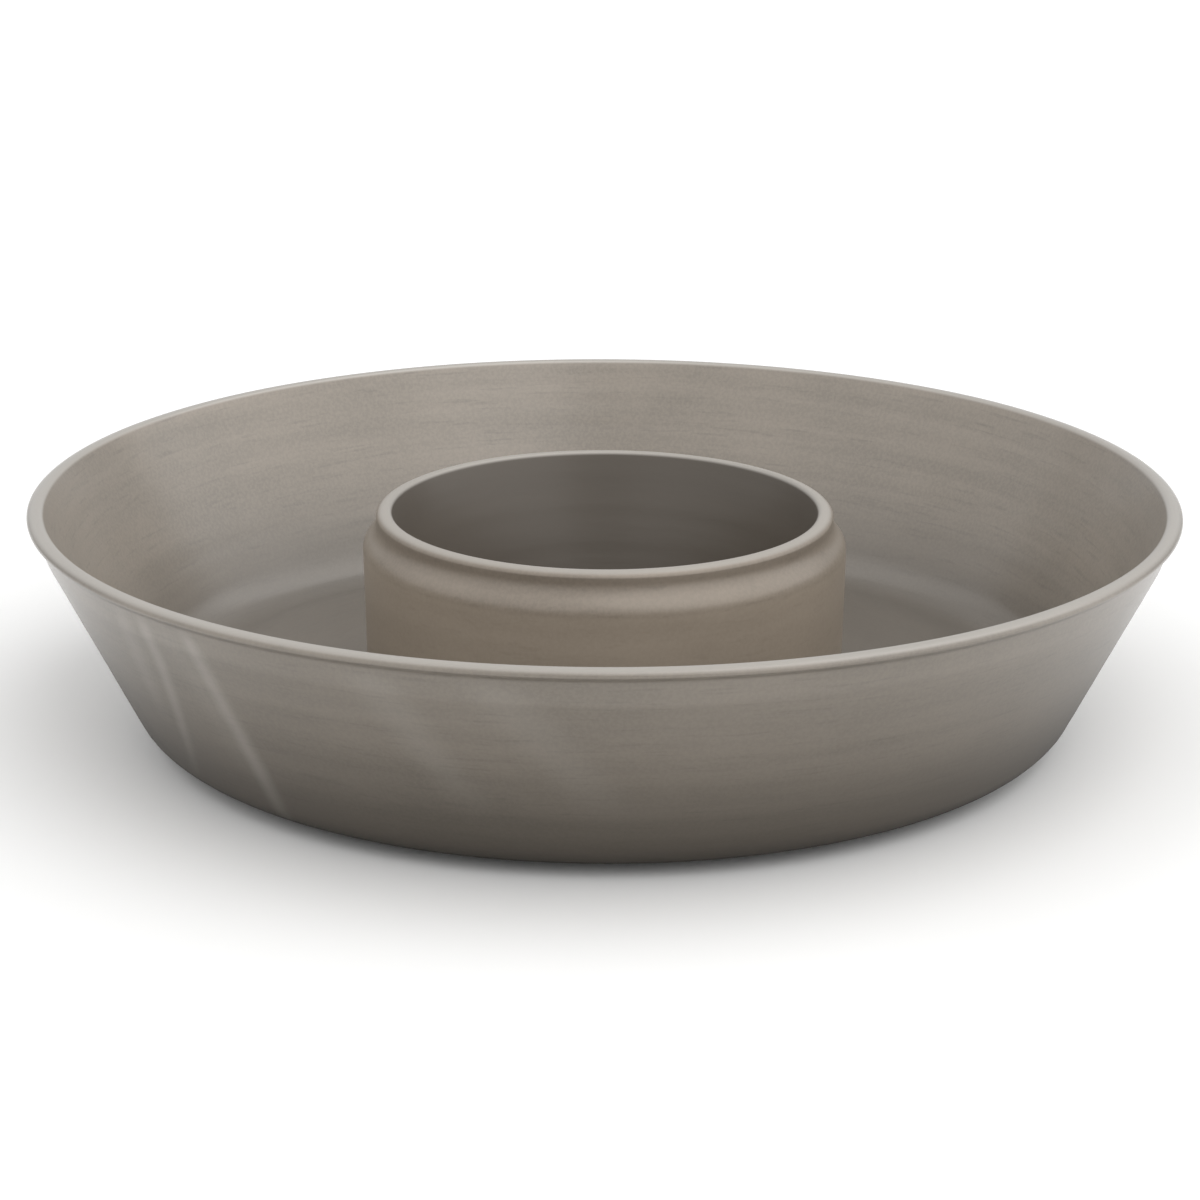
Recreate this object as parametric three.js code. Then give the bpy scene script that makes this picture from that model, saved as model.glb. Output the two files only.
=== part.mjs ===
// A chip and dip server in two pieces of satin-glazed stoneware: a wide flared bowl for chips, and a
// dip cup that stands in the middle of it and lifts out. Both are turned shapes about the Z axis.
// The origin is under the centre of the bowl, on the surface that it stands on. Units are millimetres.
import * as THREE from 'three';

// ---- Driving dimensions ----
const BOWL_RADIUS = 178; // outermost point of the bowl's lip
const BOWL_HEIGHT = 73;
// A lip's section: its reach outward from the crest, its half height and its reach inward.
const BOWL_LIP = [3.4, 1.7, 1.8];
const BOWL_WALL = 4.6; // wall thickness
const WALL_LEAN = 26.4; // degrees that the bowl's wall flares from upright
const WALL_TOP = 62; // where the wall starts to hollow under the lip
const HOLLOW_HEIGHT = 69.4; // of the deepest of that hollow
const HOLLOW_DEPTH = 1.2;

const HEEL_RADIUS = 13.7; // outside corner between the wall and the underside
const HEEL_HEIGHT = 16.6; // of the heel's centre
const FLOOR_HEIGHT = 9; // top of the bowl's floor
const FLOOR_FILLET = 16; // inside corner between the wall and the floor
const RECESS_HEIGHT = 3; // underside of the floor, inside the foot ring
const FOOT_OUTER = 117.4;
const FOOT_INNER = 108.6;
const FOOT_BEVEL = 1;

const BOSS_RADIUS = 66.5; // low boss on the bowl's floor that centres the cup
const BOSS_RISE = 3.5;
const SEAT_GAP = 0.3; // between the cup's foot and the bowl's floor
const BOSS_CLEARANCE = 1.5; // all round, between the boss and the cup's skirt

const CUP_TOP = 67.4; // height of the cup's lip above the table
const CUP_LIP_OUTER = 71.3;
const CUP_LIP = [3.6, 2, 1.5];
const NECK_HEIGHT = 64; // where the hollow neck starts under the lip
const NECK_SWEEP = 6; // radius of the hollow
const SHOULDER_RADIUS = 75.5; // outermost point of the cup
const SHOULDER_ROUND = 6;
const CUP_WALL_FOOT = 74.6; // the wall draws in a little from the shoulder to its heel
const CUP_HEEL = 3;
const CUP_INNER_LEAN = 16; // degrees that the cup's inside flares
const CUP_FLOOR = 20;
const CUP_FILLET = 14;
const CUP_SHELL = 5.7; // thickness under the cup's floor and round its inside
const GAP_TOP = 38; // of the gap between the shell and the skirt, open underneath
const GAP_ROUND = 2.2;

const BOWL_FACETS = 64;
const CUP_FACETS = 48;

const rad = THREE.MathUtils.degToRad;

// Points (radius, height) on an oval, angles in degrees from the outward radial direction.
function oval(centreR, centreZ, halfWidth, halfHeight, from, to, steps) {
  const points = [];
  for (let i = 0; i <= steps; i += 1) {
    const angle = rad(from + ((to - from) * i) / steps);
    points.push([centreR + halfWidth * Math.cos(angle), centreZ + halfHeight * Math.sin(angle)]);
  }
  return points;
}

function arc(centreR, centreZ, radius, from, to, steps) {
  return oval(centreR, centreZ, radius, radius, from, to, steps);
}

// A lip from its outside, over its crest, to where it touches an inside wall with this lean.
// Points fall on the widest and the highest.
function lip(crestR, centreZ, [outward, halfHeight, inward], from, lean) {
  const touch = THREE.MathUtils.radToDeg(Math.atan2(halfHeight * Math.sin(lean), inward * Math.cos(lean)));
  const outside = oval(crestR, centreZ, outward, halfHeight, from, 90, (90 - from) / 22.5);
  const inside = oval(crestR, centreZ, inward, halfHeight, 90, 180 - touch, 3);
  return [...outside, ...inside.slice(1)];
}

// Radius, at any height, of the inside wall that touches a lip.
function insideOf(crestR, centreZ, [, halfHeight, inward], lean) {
  const reach = Math.hypot(inward * Math.cos(lean), halfHeight * Math.sin(lean));
  return (z) => crestR - reach / Math.cos(lean) - (centreZ - z) * Math.tan(lean);
}

// An outline that starts and ends on the axis, turned into a solid standing along Z.
function turned(outline, facets) {
  const geometry = new THREE.LatheGeometry(outline.map(([r, z]) => new THREE.Vector2(r, z)), facets);
  geometry.rotateX(Math.PI / 2);
  return geometry;
}

function glaze(color) {
  return new THREE.MeshStandardMaterial({ color, roughness: 0.42, metalness: 0.25 });
}

// The flat ring that the bowl stands on, with bevelled edges, from the inside out.
function footRing() {
  return [
    [FOOT_INNER - FOOT_BEVEL, RECESS_HEIGHT],
    [FOOT_INNER, FOOT_BEVEL],
    [FOOT_INNER + FOOT_BEVEL, 0],
    [FOOT_OUTER - FOOT_BEVEL, 0],
    [FOOT_OUTER, FOOT_BEVEL],
    [FOOT_OUTER + FOOT_BEVEL, RECESS_HEIGHT - FOOT_BEVEL / 2],
  ];
}

function chipBowl() {
  const lean = rad(WALL_LEAN);
  const lipR = BOWL_RADIUS - BOWL_LIP[0];
  const lipZ = BOWL_HEIGHT - BOWL_LIP[1];
  const insideR = insideOf(lipR, lipZ, BOWL_LIP, lean);
  const outsideR = (z) => insideR(z) + BOWL_WALL / Math.cos(lean);

  const heelR = outsideR(HEEL_HEIGHT) - HEEL_RADIUS / Math.cos(lean);
  const filletZ = FLOOR_HEIGHT + FLOOR_FILLET;
  const filletR = insideR(filletZ) - FLOOR_FILLET / Math.cos(lean);
  const bossTop = FLOOR_HEIGHT + BOSS_RISE;

  const outline = [
    [0, RECESS_HEIGHT],
    ...footRing(),
    ...arc(heelR, HEEL_HEIGHT, HEEL_RADIUS, -90, -WALL_LEAN, 6),
    [outsideR(WALL_TOP), WALL_TOP],
    [outsideR(HOLLOW_HEIGHT) - HOLLOW_DEPTH, HOLLOW_HEIGHT],
    ...lip(lipR, lipZ, BOWL_LIP, -45, lean),
    ...arc(filletR, filletZ, FLOOR_FILLET, -WALL_LEAN, -90, 5),
    [BOSS_RADIUS, FLOOR_HEIGHT],
    [BOSS_RADIUS - 1, bossTop - 1],
    [BOSS_RADIUS - 2, bossTop],
    [0, bossTop],
  ];
  const bowl = new THREE.Mesh(turned(outline, BOWL_FACETS), glaze(0x8b8275));
  bowl.name = 'chip_bowl';
  return bowl;
}

// The cup's outside from the shoulder up to the lip: a round shoulder that meets the hollow neck.
function shoulderAndNeck() {
  const neckR = CUP_LIP_OUTER + NECK_SWEEP;
  const reach = NECK_SWEEP + SHOULDER_ROUND;
  const turn = Math.acos((neckR + SHOULDER_ROUND - SHOULDER_RADIUS) / reach);
  const turnDegrees = THREE.MathUtils.radToDeg(turn);
  const shoulderR = neckR - reach * Math.cos(turn);
  const shoulderZ = NECK_HEIGHT - reach * Math.sin(turn);
  return [
    ...arc(shoulderR, shoulderZ, SHOULDER_ROUND, 0, turnDegrees, 4),
    ...arc(neckR, NECK_HEIGHT, NECK_SWEEP, 180 + turnDegrees, 180, 4).slice(1),
  ];
}

function dipCup() {
  const lean = rad(CUP_INNER_LEAN);
  const foot = FLOOR_HEIGHT + SEAT_GAP;
  const skirtR = BOSS_RADIUS + BOSS_CLEARANCE;
  const lipR = CUP_LIP_OUTER - CUP_LIP[0];
  const lipZ = CUP_TOP - CUP_LIP[1];
  const insideR = insideOf(lipR, lipZ, CUP_LIP, lean);
  const filletZ = CUP_FLOOR + CUP_FILLET;
  const filletR = insideR(filletZ) - CUP_FILLET / Math.cos(lean);

  // The underside follows the shell up from under the floor, and comes down inside the skirt.
  const gapZ = GAP_TOP - GAP_ROUND;
  const gapR = insideR(gapZ) + (CUP_SHELL + GAP_ROUND) / Math.cos(lean);

  const outline = [
    [0, CUP_FLOOR - CUP_SHELL],
    ...arc(filletR, filletZ, CUP_FILLET + CUP_SHELL, -90, -CUP_INNER_LEAN, 5),
    ...arc(gapR, gapZ, GAP_ROUND, 180 - CUP_INNER_LEAN, 0, 4),
    [skirtR, foot + 1],
    [skirtR + 1, foot],
    ...arc(CUP_WALL_FOOT - CUP_HEEL, foot + CUP_HEEL, CUP_HEEL, -90, 0, 3),
    ...shoulderAndNeck(),
    ...lip(lipR, lipZ, CUP_LIP, 0, lean),
    ...arc(filletR, filletZ, CUP_FILLET, -CUP_INNER_LEAN, -90, 5),
    [0, CUP_FLOOR],
  ];
  const cup = new THREE.Mesh(turned(outline, CUP_FACETS), glaze(0x8f8679));
  cup.name = 'dip_cup';
  return cup;
}

const server = new THREE.Group();
server.name = 'chip_and_dip_server';
server.add(chipBowl(), dipCup());

export default server;
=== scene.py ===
"""A chip and dip server: a wide flared bowl and a lift-out dip cup in satin pewter-grey glaze."""
import math

import bpy
from mathutils import Matrix, Vector, noise


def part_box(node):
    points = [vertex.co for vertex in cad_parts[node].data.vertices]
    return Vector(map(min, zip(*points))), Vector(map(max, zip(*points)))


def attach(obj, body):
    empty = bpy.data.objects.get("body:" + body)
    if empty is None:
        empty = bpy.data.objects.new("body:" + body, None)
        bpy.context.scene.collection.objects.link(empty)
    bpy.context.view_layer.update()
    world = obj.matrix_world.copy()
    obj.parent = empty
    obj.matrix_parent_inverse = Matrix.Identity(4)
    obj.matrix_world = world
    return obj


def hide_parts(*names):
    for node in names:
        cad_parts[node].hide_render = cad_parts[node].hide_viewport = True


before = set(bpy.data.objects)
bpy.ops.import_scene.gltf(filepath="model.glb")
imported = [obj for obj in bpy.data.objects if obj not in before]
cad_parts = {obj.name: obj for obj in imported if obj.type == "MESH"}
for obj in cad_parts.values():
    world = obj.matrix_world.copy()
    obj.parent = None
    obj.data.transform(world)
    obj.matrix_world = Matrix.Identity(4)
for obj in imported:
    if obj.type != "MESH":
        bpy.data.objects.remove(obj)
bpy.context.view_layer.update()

MM = 0.001

# ---- Sizes, in millimetres. The large ones come from the frame. ----
BOWL_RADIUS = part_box("chip_bowl")[1][0] / MM
BOWL_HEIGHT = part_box("chip_bowl")[1][2] / MM
# A lip's section: its reach outward from the crest, its half height and its reach inward.
BOWL_LIP = (3.4, 1.7, 1.8)
BOWL_WALL = 4.6
WALL_LEAN = 26.4  # degrees from upright
WALL_TOP = 62.0  # where the wall starts to hollow under the lip
HOLLOW_HEIGHT = 69.4  # of the deepest of that hollow
HOLLOW_DEPTH = 1.2
HOLLOW_BLEND = 30.0  # radius where the wall turns into the hollow
HOLLOW_ROUND = 2.5  # radius in the hollow
HEEL_RADIUS = 13.7
HEEL_HEIGHT = 16.6
FLOOR_HEIGHT = 9.0
FLOOR_FILLET = 16.0
RECESS_HEIGHT = 3.0
FOOT_OUTER = 117.4
FOOT_INNER = 108.6
FOOT_ROUND = 0.9
BOSS_RADIUS = 66.5
BOSS_RISE = 3.5
BOSS_ROUND = 1.6

CUP_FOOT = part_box("dip_cup")[0][2] / MM
CUP_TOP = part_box("dip_cup")[1][2] / MM
SHOULDER_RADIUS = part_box("dip_cup")[1][0] / MM
CUP_LIP_OUTER = 71.3
CUP_LIP = (3.6, 2.0, 1.5)
NECK_HEIGHT = 64.0
NECK_SWEEP = 6.0
SHOULDER_ROUND = 6.0
CUP_WALL_FOOT = 74.6
CUP_HEEL = 3.0
CUP_INNER_LEAN = 16.0
CUP_FLOOR = 20.0
CUP_FILLET = 14.0
CUP_SHELL = 5.7  # thickness under the cup's floor and round its inside
GAP_TOP = 38.0  # of the gap between the shell and the skirt
GAP_ROUND = 2.2
SKIRT_RADIUS = 68.0  # inside of the skirt at its foot
SKIRT_ROUND = 1.0

BOWL_SEGMENTS = 288
CUP_SEGMENTS = 192
OUTLINE_STEP = 2.0  # longest straight stretch of an outline between two points
ARC_STEP = 6.0  # degrees of arc between two points

RADIUS_SHARE = 0.9  # of the radius, added to the height, in a place's distance along an outline

# ---- Turning marks ----
BOWL_MARKS = 0.10  # depth, in millimetres
CUP_MARKS = 0.06
MARKS_CLEAR = 12.0  # height over which they fade out towards the foot
RING_PITCH = (0.006, 0.21)  # of rings, per millimetre: round the piece and along its outline
SWAY_PITCH = 0.017  # of the wide unevenness, per millimetre
SWAY_SHARE = 0.8

# ---- Glaze ----
BOWL_PALE = (0.222, 0.188, 0.149, 1)
BOWL_DEEP = (0.161, 0.136, 0.105, 1)
# The cup's glaze is the bowl's made about 1.3 times as light: painted light.
CUP_PALE = (0.290, 0.246, 0.198, 1)
CUP_DEEP = (0.215, 0.180, 0.143, 1)
# Pale colour of thin glaze with a painted highlight on the lips, also used for the painted reflections.
THIN_GLAZE_AND_HIGHLIGHT = (0.42, 0.395, 0.36, 1)
BARE_CLAY = (0.42, 0.36, 0.29, 1)
BOWL_COAT = 1.0  # weight of the clear coat
CUP_COAT = 0.2

# Noises: scale, detail and roughness.
CLOUDS = (16, 4, 0.55)
BANDS = (1, 3, 0.6)
BRUSH = (1, 2, 0.5)
GRAIN = (2600, 2, 0.6)
SPECKS = (900, 2, 0.6)
BANDS_PITCH = (1.1, 95)  # round the piece, and per metre along its outline
BRUSH_PITCH = (9, 620)

# What a noise does to the colour: where it sets in, where it is full, and its share.
CLOUDED = (0.34, 0.66)
DASHED = (0.56, 0.72, 0.35)
SPECKLED = (0.35, 0.65, 0.18)
DASH_TONE = 0.7  # against the deep glaze
SPECK_TONE = 1.5  # against the pale glaze

# Where the colour changes, most of it painted shade and light: where that sets in and where it is full,
# in millimetres from a lip, a foot or the axis, then its share in the colour, and its tone against the
# deep or the pale glaze.
FOOT_SHADE = (46, 5, 0.72, 0.5)  # painted shade: deep, from the bowl's foot
CUP_SHOULDER_SHADE = (-12.5, -8, 0.45, 0.75)  # painted shade on the shoulder: deep, from the cup's lip
CUP_SIDE_LIGHT = (-10.5, -14, 0.5, 1.5)  # painted light down the side: pale, from the cup's lip
CUP_INSIDE_SHADE = (68.5, 66.5, 0.95, 0.4)  # painted shade inside the cup: deep, from the axis
LIP_THIN_AND_HIGHLIGHT = (-1.2, -0.2, 0.75)  # thin glaze and a painted highlight, from a lip
FOOT_BARE = (0.9, 0.35, 1)  # bare clay, from a foot
WALL_MIDDLE = 139.8  # radius of the middle of the bowl's wall, carried down to the table
OUTSIDE_SHADE_SHARE = 0.37  # of painted shade, outside that
OUTSIDE_SHADE_TONE = 0.5

ROUGHNESS = 0.40
BAND_ROUGHNESS = 0.10  # more where the bands are full
BARE_ROUGHNESS = 0.35  # more where the clay is bare
BAND_RELIEF = 0.10  # millimetres of bump
BRUSH_RELIEF = 0.012
GRAIN_RELIEF = 0.006

# Painted reflections of the studio, as pale sweeps down the bowl's outside: azimuth at the lip in
# degrees from the front, drift towards the foot in degrees, the drift's power, half width in degrees,
# strength, and how far down it fades out.
REFLECTION_SWEEPS = [
    (-51.0, -8.0, 1.5, 2.4, 0.14, 0.7),
    (-47.4, -9.5, 2.0, 1.7, 0.26, 1.0),
    (-42.0, 3.5, 0.6, 2.0, 0.30, 1.2),
    (-44.5, 6.0, 1.0, 3.6, 0.09, 0.9),
    (-22.5, 13.0, 1.0, 4.2, 0.11, 0.8),
    (-12.0, 19.0, 1.0, 4.8, 0.09, 0.8),
]
SWEEP_TOP = (0.03, 0.12)  # share of the way down over which they come up
SWEEP_FADE = 0.5  # share of their length after which they start to fade
SWEEP_WANDER = 3  # degrees

# ---- Studio ----
FLOOR_SIDE = 60.0  # metres
FLOOR_COLOUR = (0.90, 0.90, 0.895, 1)
FLOOR_SHADE = (0.14, 0.135, 0.13, 1)  # of the light that the floor sends up beside the bowl
SHADE_REACH = (0.12, 0.24)  # metres from the axis: where that shade starts to fade, and its end
# Each soft sun: its name, the way to it and its strength.
SUNS = [
    ("key", (1.0, -0.32, 0.9), 1.95),
    ("fill", (-0.95, -0.4, 0.85), 0.8),
    ("overhead", (-0.3, -0.55, 1.2), 0.5),
]
SUN_SPREAD = 100  # degrees across
WORLD_STRENGTH = 0.62

# ---- Camera ----
CAMERA_DISTANCE = 6.0  # in bowl radii, from the middle of the server
CAMERA_ELEVATION = 17.4
CAMERA_ROLL = 0.16
CAMERA_LENS = 101.76
SENSOR = 36.0
AIM_OFFSET = (-1.4, 0.3)  # of the aim from the server's middle, in X and Z


# ---- Outlines: lists of (radius, height) in millimetres, from the axis and back to it ----
def oval(centre, width, height, start, end):
    """Points on an oval, with angles in degrees from the outward direction."""
    steps = max(2, math.ceil(abs(end - start) / ARC_STEP))
    angles = [math.radians(start + (end - start) * i / steps) for i in range(steps + 1)]
    return [(centre[0] + width * math.cos(a), centre[1] + height * math.sin(a)) for a in angles]


def arc(centre, radius, start, end):
    return oval(centre, radius, radius, start, end)


def lip(centre, section, start, lean):
    """A lip from its outside, over its crest, to where it touches an inside wall with this lean."""
    outward, height, inward = section
    touch = math.degrees(math.atan2(height * math.sin(lean), inward * math.cos(lean)))
    return oval(centre, outward, height, start, 90) + oval(centre, inward, height, 90, 180 - touch)[1:]


def inside_of(centre, section, lean):
    """Radius, at any height, of the inside wall that touches a lip."""
    reach = math.hypot(section[2] * math.cos(lean), section[1] * math.sin(lean)) / math.cos(lean)
    return lambda z: centre[0] - reach - (centre[1] - z) * math.tan(lean)


def divided(outline):
    """The outline with its long straight stretches cut into short ones."""
    points = [outline[0]]
    for a, b in zip(outline, outline[1:]):
        steps = max(1, math.ceil(math.dist(a, b) / OUTLINE_STEP))
        points += [(a[0] + (b[0] - a[0]) * i / steps, a[1] + (b[1] - a[1]) * i / steps)
                   for i in range(1, steps + 1)]
    return points


def tangent_arc(a, corner, b, radius):
    """A round corner between the lines a-corner and corner-b."""
    a, corner, b = Vector(a), Vector(corner), Vector(b)
    back, on = (a - corner).normalized(), (b - corner).normalized()
    half = back.angle(on) / 2
    middle = corner + (back + on).normalized() * radius / math.sin(half)
    first = corner + back * radius / math.tan(half) - middle
    last = corner + on * radius / math.tan(half) - middle
    start = math.degrees(math.atan2(first.y, first.x))
    turn = math.degrees(math.atan2(last.y, last.x)) - start
    turn = (turn + 180) % 360 - 180
    return arc(middle, radius, start, start + turn)


def foot_ring():
    """The ring that the bowl stands on, from the inside out."""
    top = RECESS_HEIGHT
    edge = FOOT_ROUND
    return [
        *tangent_arc((0, top), (FOOT_INNER - 2 * edge, top), (FOOT_INNER, 0), 2 * edge),
        *tangent_arc((FOOT_INNER - 2 * edge, top), (FOOT_INNER, 0), (FOOT_OUTER, 0), edge),
        *tangent_arc((FOOT_INNER, 0), (FOOT_OUTER, 0), (FOOT_OUTER + edge, top), edge),
    ]


def bowl_outline():
    lean = math.radians(WALL_LEAN)
    lip_centre = (BOWL_RADIUS - BOWL_LIP[0], BOWL_HEIGHT - BOWL_LIP[1])
    inside = inside_of(lip_centre, BOWL_LIP, lean)

    def outside(z):
        return inside(z) + BOWL_WALL / math.cos(lean)

    heel = (outside(HEEL_HEIGHT) - HEEL_RADIUS / math.cos(lean), HEEL_HEIGHT)
    fillet_z = FLOOR_HEIGHT + FLOOR_FILLET
    fillet = (inside(fillet_z) - FLOOR_FILLET / math.cos(lean), fillet_z)
    wall_top = (outside(WALL_TOP), WALL_TOP)
    hollow = (outside(HOLLOW_HEIGHT) - HOLLOW_DEPTH, HOLLOW_HEIGHT)
    over_lip = lip(lip_centre, BOWL_LIP, -45, lean)
    boss_top = FLOOR_HEIGHT + BOSS_RISE
    boss_foot, boss_edge = (BOSS_RADIUS, FLOOR_HEIGHT), (BOSS_RADIUS, boss_top)
    return divided([
        (0, RECESS_HEIGHT),
        *foot_ring(),
        *arc(heel, HEEL_RADIUS, -90, -WALL_LEAN),
        *tangent_arc((outside(HEEL_HEIGHT), HEEL_HEIGHT), wall_top, hollow, HOLLOW_BLEND),
        *tangent_arc(wall_top, hollow, over_lip[0], HOLLOW_ROUND),
        *over_lip,
        *arc(fillet, FLOOR_FILLET, -WALL_LEAN, -90),
        *tangent_arc((fillet[0], FLOOR_HEIGHT), boss_foot, boss_edge, BOSS_ROUND),
        *tangent_arc(boss_foot, boss_edge, (0, boss_top), BOSS_ROUND),
        (0, boss_top),
    ])


def cup_outline():
    lean = math.radians(CUP_INNER_LEAN)
    lip_centre = (CUP_LIP_OUTER - CUP_LIP[0], CUP_TOP - CUP_LIP[1])
    inside = inside_of(lip_centre, CUP_LIP, lean)

    # The concave neck and the round shoulder are two arcs that meet where both lean the same.
    neck = (CUP_LIP_OUTER + NECK_SWEEP, NECK_HEIGHT)
    reach = NECK_SWEEP + SHOULDER_ROUND
    turn = math.acos((neck[0] + SHOULDER_ROUND - SHOULDER_RADIUS) / reach)
    shoulder = (neck[0] - reach * math.cos(turn), neck[1] - reach * math.sin(turn))
    turn = math.degrees(turn)

    heel = (CUP_WALL_FOOT - CUP_HEEL, CUP_FOOT + CUP_HEEL)
    fillet_z = CUP_FLOOR + CUP_FILLET
    fillet = (inside(fillet_z) - CUP_FILLET / math.cos(lean), fillet_z)
    gap_z = GAP_TOP - GAP_ROUND
    gap = (inside(gap_z) + (CUP_SHELL + GAP_ROUND) / math.cos(lean), gap_z)
    skirt_foot = (SKIRT_RADIUS, CUP_FOOT)
    return divided([
        (0, CUP_FLOOR - CUP_SHELL),
        *arc(fillet, CUP_FILLET + CUP_SHELL, -90, -CUP_INNER_LEAN),
        *arc(gap, GAP_ROUND, 180 - CUP_INNER_LEAN, 0),
        *tangent_arc((gap[0] + GAP_ROUND, gap_z), skirt_foot, (heel[0], CUP_FOOT), SKIRT_ROUND),
        *arc(heel, CUP_HEEL, -90, 0),
        *arc(shoulder, SHOULDER_ROUND, 0, turn),
        *arc(neck, NECK_SWEEP, 180 + turn, 180)[1:],
        *lip(lip_centre, CUP_LIP, 0, lean),
        *arc(fillet, CUP_FILLET, -CUP_INNER_LEAN, -90),
        (0, CUP_FLOOR),
    ])


# ---- Turned meshes ----
def turned(name, outline, segments):
    """A closed mesh: the outline, which starts and ends on the axis, turned about Z."""
    rings = outline[1:-1]
    verts = []
    for r, z in rings:
        for k in range(segments):
            angle = 2 * math.pi * k / segments
            verts.append((r * MM * math.cos(angle), r * MM * math.sin(angle), z * MM))
    first, last = len(verts), len(verts) + 1
    verts += [(0, 0, outline[0][1] * MM), (0, 0, outline[-1][1] * MM)]
    faces = []
    for k in range(segments):
        after = (k + 1) % segments
        faces.append((first, after, k))
        top = (len(rings) - 1) * segments
        faces.append((last, top + k, top + after))
        for i in range(len(rings) - 1):
            a, b = i * segments, (i + 1) * segments
            faces.append((a + k, a + after, b + after, b + k))
    mesh = bpy.data.meshes.new(name)
    mesh.from_pydata(verts, [], faces)
    mesh.update()
    mesh.shade_smooth()
    piece = bpy.data.objects.new(name, mesh)
    bpy.context.scene.collection.objects.link(piece)
    return piece


def add_turning_marks(piece, depth, seed, foot):
    """Leaves the slight unevenness of a turned and glazed wall, and keeps the foot flat.

    depth and foot, the foot's height, are in millimetres. seed moves the pattern.
    """
    slow, fast = RING_PITCH
    marks = []
    for vertex in piece.data.vertices:
        x, y, z = vertex.co / MM
        r = math.hypot(x, y)
        along = r * RADIUS_SHARE + z
        ring = noise.noise(Vector((x * slow + seed, y * slow, along * fast)))
        sway = noise.noise(Vector((x * SWAY_PITCH, y * SWAY_PITCH + seed, z * SWAY_PITCH)))
        clear = min(1.0, max(0.0, z - foot) / MARKS_CLEAR)
        marks.append(vertex.normal * (ring + SWAY_SHARE * sway) * depth * clear * MM)
    for vertex, shift in zip(piece.data.vertices, marks):
        vertex.co += shift


# ---- Materials ----
class Nodes:
    """Short calls for building a node tree."""

    def __init__(self, material):
        material.use_nodes = True
        self.tree = material.node_tree
        self.tree.nodes.clear()

    def add(self, kind, inputs=None, **settings):
        node = self.tree.nodes.new(kind)
        for key, value in settings.items():
            setattr(node, key, value)
        for key, value in (inputs or {}).items():
            if isinstance(value, bpy.types.NodeSocket):
                self.tree.links.new(value, node.inputs[key])
            else:
                node.inputs[key].default_value = value
        return node

    def math(self, operation, a, b=0.0, c=0.0):
        return self.add("ShaderNodeMath", {0: a, 1: b, 2: c}, operation=operation).outputs[0]

    def vector(self, operation, a, b=(0, 0, 0), output=0):
        return self.add("ShaderNodeVectorMath", {0: a, 1: b}, operation=operation).outputs[output]

    def noise(self, vector, scale=1.0, detail=3.0, rough=0.5):
        inputs = {"Vector": vector, "Scale": scale, "Detail": detail, "Roughness": rough}
        return self.add("ShaderNodeTexNoise", inputs).outputs["Fac"]

    def step(self, value, low, high):
        """0 below low, 1 above high, and smooth between; low above high runs it the other way."""
        inputs = {"Value": value, "From Min": low, "From Max": high}
        return self.add("ShaderNodeMapRange", inputs, interpolation_type="SMOOTHSTEP").outputs["Result"]

    def share(self, value, low, high, most):
        """The same step, from 0 up to most."""
        return self.math("MULTIPLY", self.step(value, low, high), most)

    def mix(self, fac, a, b):
        """Colour a where fac is 0 and colour b where it is 1. The colour sockets are 6, 7 and 2."""
        return self.add("ShaderNodeMix", {0: fac, 6: a, 7: b}, data_type="RGBA").outputs[2]


def toned(colour, tone):
    return [min(1, c * tone) for c in colour[:3]] + [1]


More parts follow.
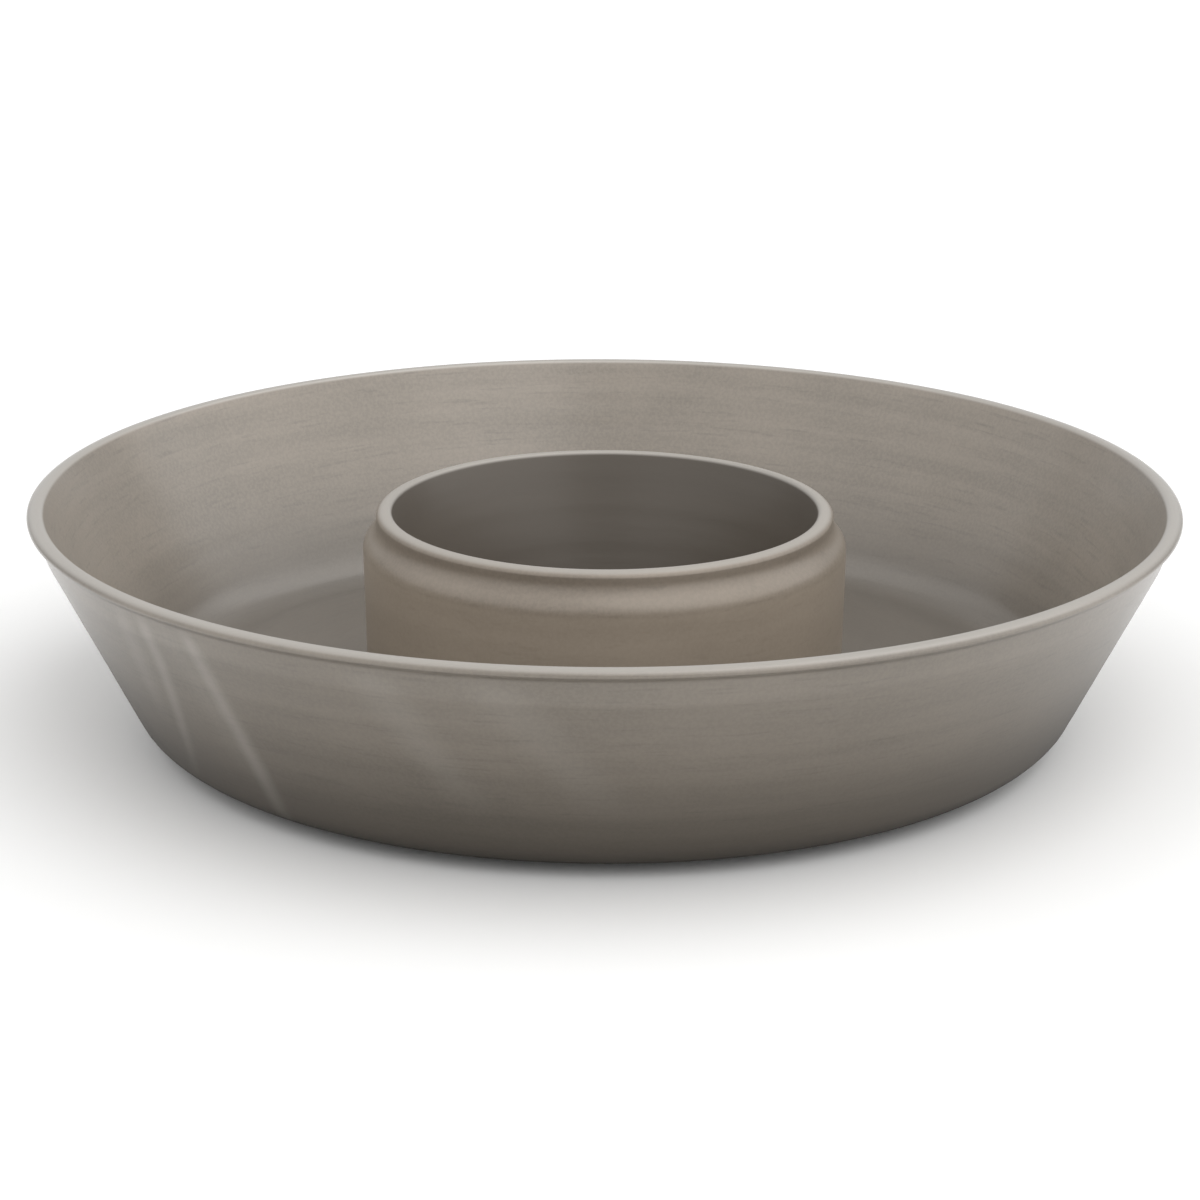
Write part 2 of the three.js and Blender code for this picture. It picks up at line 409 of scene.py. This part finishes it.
class Glaze(Nodes):
    """Pewter-grey satin glaze over stoneware, as one colour that is painted over step by step."""

    def __init__(self, name, pale, deep):
        self.material = bpy.data.materials.new(name)
        super().__init__(self.material)
        self.pale = pale
        self.deep = deep
        self.place = self.add("ShaderNodeTexCoord").outputs["Object"]
        self.x, self.y, self.z = self.add("ShaderNodeSeparateXYZ", {0: self.place}).outputs
        flat = self.vector("MULTIPLY", self.place, (1, 1, 0))
        self.radius = self.vector("LENGTH", flat, output="Value")
        self.around = self.vector("NORMALIZE", flat)
        self.along = self.math("MULTIPLY_ADD", self.radius, RADIUS_SHARE, self.z)
        self.cloud = self.noise(self.place, *CLOUDS)
        self.bands = self.noise(self.ringed(*BANDS_PITCH), *BANDS)
        self.brushed = self.noise(self.ringed(*BRUSH_PITCH), *BRUSH)
        self.colour = self.mottled()

    def ringed(self, spread, pitch):
        """A place that runs round the piece slowly and along its outline fast."""
        wide = self.add("ShaderNodeVectorMath", {0: self.around, "Scale": spread}, operation="SCALE")
        fine = self.add("ShaderNodeCombineXYZ", {2: self.math("MULTIPLY", self.along, pitch)})
        return self.vector("ADD", wide.outputs[0], fine.outputs[0])

    def mottled(self):
        """Clouds and bands between the pale and the deep glaze, with brushed dashes and specks."""
        specks = self.noise(self.place, *SPECKS)
        tone = self.math("MULTIPLY_ADD", self.bands, 0.5, self.math("MULTIPLY", self.cloud, 0.5))
        colour = self.mix(self.step(tone, *CLOUDED), self.deep, self.pale)
        colour = self.mix(self.share(self.brushed, *DASHED), colour, toned(self.deep, DASH_TONE))
        return self.mix(self.share(specks, *SPECKLED), colour, toned(self.pale, SPECK_TONE))

    def paint(self, share, colour):
        self.colour = self.mix(share, self.colour, colour)

    def change(self, value, base, start, full, most):
        """The share of a change that sets in and is full at these distances from base."""
        return self.share(value, (base + start) * MM, (base + full) * MM, most)

    def deepen(self, value, base, start, full, most, tone):
        self.paint(self.change(value, base, start, full, most), toned(self.deep, tone))

    def lighten(self, value, base, start, full, most, tone):
        self.paint(self.change(value, base, start, full, most), toned(self.pale, tone))

    def finish(self, top, foot, coat):
        """Thin glaze with a painted highlight on the lip, a bare foot, and the surface. Returns the
        material.
        """
        # Thin glaze and a painted highlight on the lip's crest.
        self.paint(self.change(self.z, top, *LIP_THIN_AND_HIGHLIGHT), THIN_GLAZE_AND_HIGHLIGHT)
        bare = self.change(self.z, foot, *FOOT_BARE)
        self.paint(bare, BARE_CLAY)

        rough = self.math("MULTIPLY_ADD", self.bands, BAND_ROUGHNESS, ROUGHNESS)
        rough = self.math("MULTIPLY_ADD", bare, BARE_ROUGHNESS, rough)
        height = self.math("MULTIPLY", self.bands, BAND_RELIEF * MM)
        height = self.math("MULTIPLY_ADD", self.brushed, BRUSH_RELIEF * MM, height)
        height = self.math("MULTIPLY_ADD", self.noise(self.place, *GRAIN), GRAIN_RELIEF * MM, height)
        bump = self.add("ShaderNodeBump", {"Height": height, "Distance": 1.0, "Strength": 1.0})
        shader = self.add("ShaderNodeBsdfPrincipled", {
            "Base Color": self.colour, "Roughness": rough, "Normal": bump.outputs[0],
            "Metallic": 0.2, "IOR": 1.5, "Coat Weight": coat, "Coat Roughness": 0.27, "Coat IOR": 1.6,
        })
        self.add("ShaderNodeOutputMaterial", {"Surface": shader.outputs[0]})
        return self.material


def paint_reflection_sweeps(glaze, outside):
    """Painted reflections as pale sweeps down the bowl, where outside is 1."""
    azimuth = glaze.math("DEGREES", glaze.math("ARCTAN2", glaze.x, glaze.math("MULTIPLY", glaze.y, -1)))
    down = glaze.math("MULTIPLY_ADD", glaze.z, -1 / (BOWL_HEIGHT * MM), 1)
    wander = glaze.math("MULTIPLY_ADD", glaze.cloud, SWEEP_WANDER, -SWEEP_WANDER / 2)
    shown = glaze.math("MULTIPLY", outside, glaze.step(down, *SWEEP_TOP))
    for start, drift, power, width, strength, end in REFLECTION_SWEEPS:
        line = glaze.math("MULTIPLY_ADD", glaze.math("POWER", down, power), drift, start)
        off = glaze.math("ADD", glaze.math("SUBTRACT", azimuth, line), wander)
        fade = glaze.share(down, end, end * SWEEP_FADE, glaze.math("MULTIPLY", shown, strength))
        glaze.paint(glaze.share(glaze.math("ABSOLUTE", off), width, 0, fade), THIN_GLAZE_AND_HIGHLIGHT)


def bowl_glaze():
    """Painted shade on the outside and towards the foot, with painted reflections as pale sweeps."""
    glaze = Glaze("bowl_satin_glaze", BOWL_PALE, BOWL_DEEP)
    slope = -math.tan(math.radians(WALL_LEAN))
    level = glaze.math("MULTIPLY_ADD", glaze.z, slope, glaze.radius)
    outside = glaze.step(level, WALL_MIDDLE * MM, (WALL_MIDDLE + 1) * MM)
    # Painted shade: the outside of the wall darker than its inside.
    glaze.paint(glaze.math("MULTIPLY", outside, OUTSIDE_SHADE_SHARE), toned(glaze.deep, OUTSIDE_SHADE_TONE))
    # Painted shade: darker towards the foot.
    glaze.deepen(glaze.z, 0, *FOOT_SHADE)
    # Painted reflections: pale sweeps down the outside.
    paint_reflection_sweeps(glaze, outside)
    return glaze.finish(BOWL_HEIGHT, 0, BOWL_COAT)


def cup_glaze():
    """Painted shade round the shoulder and inside, and painted light down the side."""
    glaze = Glaze("cup_satin_glaze", CUP_PALE, CUP_DEEP)
    # Painted shade on the shoulder.
    glaze.deepen(glaze.z, CUP_TOP, *CUP_SHOULDER_SHADE)
    # Painted light down the side.
    glaze.lighten(glaze.z, CUP_TOP, *CUP_SIDE_LIGHT)
    # Painted shade inside the cup.
    glaze.deepen(glaze.radius, 0, *CUP_INSIDE_SHADE)
    return glaze.finish(CUP_TOP, CUP_FOOT, CUP_COAT)


def floor_paint():
    """Plain and pale to look at. What it sends back up to the bowl is darker near the foot."""
    material = bpy.data.materials.new("pale_floor")
    n = Nodes(material)
    away = n.vector("LENGTH", n.add("ShaderNodeTexCoord").outputs["Object"], output="Value")
    bounced = n.mix(n.step(away, *SHADE_REACH), FLOOR_SHADE, FLOOR_COLOUR)
    colour = n.mix(n.add("ShaderNodeLightPath").outputs["Is Camera Ray"], bounced, FLOOR_COLOUR)
    shader = n.add("ShaderNodeBsdfPrincipled", {"Base Color": colour, "Roughness": 0.55})
    n.add("ShaderNodeOutputMaterial", {"Surface": shader.outputs[0]})
    return material


# ---- The server ----
def make_server():
    bowl = turned("bowl_glazed", bowl_outline(), BOWL_SEGMENTS)
    add_turning_marks(bowl, BOWL_MARKS, seed=3.7, foot=0)
    bowl.data.materials.append(bowl_glaze())
    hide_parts("chip_bowl")
    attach(bowl, "bowl")

    cup = turned("cup_glazed", cup_outline(), CUP_SEGMENTS)
    add_turning_marks(cup, CUP_MARKS, seed=8.1, foot=CUP_FOOT)
    cup.data.materials.append(cup_glaze())
    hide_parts("dip_cup")
    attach(cup, "cup")


# ---- Floor, lights and camera ----
def make_floor():
    mesh = bpy.data.meshes.new("floor")
    half = FLOOR_SIDE / 2
    corners = [(-half, -half, 0), (half, -half, 0), (half, half, 0), (-half, half, 0)]
    mesh.from_pydata(corners, [], [(0, 1, 2, 3)])
    mesh.materials.append(floor_paint())
    floor = bpy.data.objects.new("floor", mesh)
    bpy.context.scene.collection.objects.link(floor)


def soft_sun(name, place, strength):
    """Even, soft light from the way that place points."""
    data = bpy.data.lights.new(name, "SUN")
    data.energy = strength
    data.angle = math.radians(SUN_SPREAD)
    light = bpy.data.objects.new(name, data)
    light.rotation_euler = Vector(place).to_track_quat("Z", "Y").to_euler()
    bpy.context.scene.collection.objects.link(light)


def make_lights():
    for sun in SUNS:
        soft_sun(*sun)
    world = bpy.data.worlds.new("studio")
    bpy.context.scene.world = world
    world.use_nodes = True
    background = world.node_tree.nodes["Background"]
    background.inputs["Color"].default_value = (1, 1, 1, 1)
    background.inputs["Strength"].default_value = WORLD_STRENGTH


def make_camera():
    data = bpy.data.cameras.new("camera")
    data.lens = CAMERA_LENS
    data.sensor_width = SENSOR
    camera = bpy.data.objects.new("camera", data)
    aim = Vector((AIM_OFFSET[0], 0, BOWL_HEIGHT / 2 + AIM_OFFSET[1])) * MM
    elevation = math.radians(CAMERA_ELEVATION)
    away = Vector((0, -math.cos(elevation), math.sin(elevation)))
    camera.location = aim + away * CAMERA_DISTANCE * BOWL_RADIUS * MM
    tilt = Matrix.Rotation(math.pi / 2 - elevation, 3, "X")
    camera.rotation_euler = (tilt @ Matrix.Rotation(math.radians(CAMERA_ROLL), 3, "Z")).to_euler()
    bpy.context.scene.collection.objects.link(camera)
    bpy.context.scene.camera = camera


bpy.context.scene.view_settings.view_transform = "Standard"
make_camera()
make_server()
make_floor()
make_lights()
